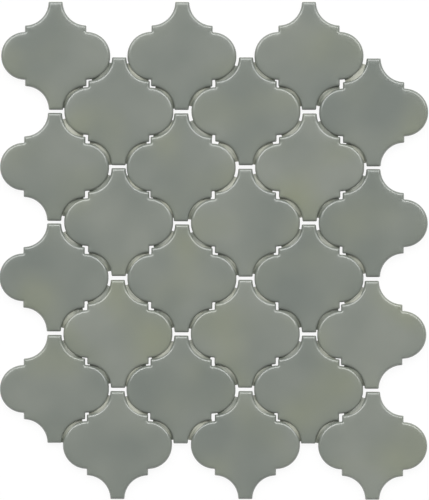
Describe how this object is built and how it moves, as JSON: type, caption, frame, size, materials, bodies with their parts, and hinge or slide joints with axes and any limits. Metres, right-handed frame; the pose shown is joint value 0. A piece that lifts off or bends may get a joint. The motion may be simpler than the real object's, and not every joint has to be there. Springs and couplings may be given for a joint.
{
  "type": "arabesque mosaic tile sheet",
  "caption": "Flat sheet of interlocking grey-green glazed lantern-shaped tiles, bonded edge to edge, for covering walls, backsplashes and floors.",
  "frame": {"origin": "under the middle of the sheet, on the plane of the tiles' backs", "axes": "+X across the columns, +Y up the columns, +Z out of the glazed faces"},
  "size_m": [0.2562, 0.2977, 0.006],
  "materials": {
    "glazed_tile": "semi-gloss grey-green glaze, soft mottling, bisque back",
    "bond": "clear bond that looks grey-green between the tiles, smooth"
  },
  "bodies": {
    "root": {"tile_column1_row1": "glazed_tile", "tile_column1_row2": "glazed_tile", "tile_column1_row3": "glazed_tile", "tile_column1_row4": "glazed_tile", "tile_column2_row1": "glazed_tile", "tile_column2_row2": "glazed_tile", "tile_column2_row3": "glazed_tile", "tile_column2_row4": "glazed_tile", "tile_column3_row1": "glazed_tile", "tile_column3_row2": "glazed_tile", "tile_column3_row3": "glazed_tile", "tile_column3_row4": "glazed_tile", "tile_column4_row1": "glazed_tile", "tile_column4_row2": "glazed_tile", "tile_column4_row3": "glazed_tile", "tile_column4_row4": "glazed_tile", "tile_column5_row1": "glazed_tile", "tile_column5_row2": "glazed_tile", "tile_column5_row3": "glazed_tile", "tile_column5_row4": "glazed_tile", "tile_column6_row1": "glazed_tile", "tile_column6_row2": "glazed_tile", "tile_column6_row3": "glazed_tile", "tile_column6_row4": "glazed_tile", "bond_column1_to_2": "bond", "bond_column2_to_3": "bond", "bond_column3_to_4": "bond", "bond_column4_to_5": "bond", "bond_column5_to_6": "bond"}
  },
  "joints": []
}
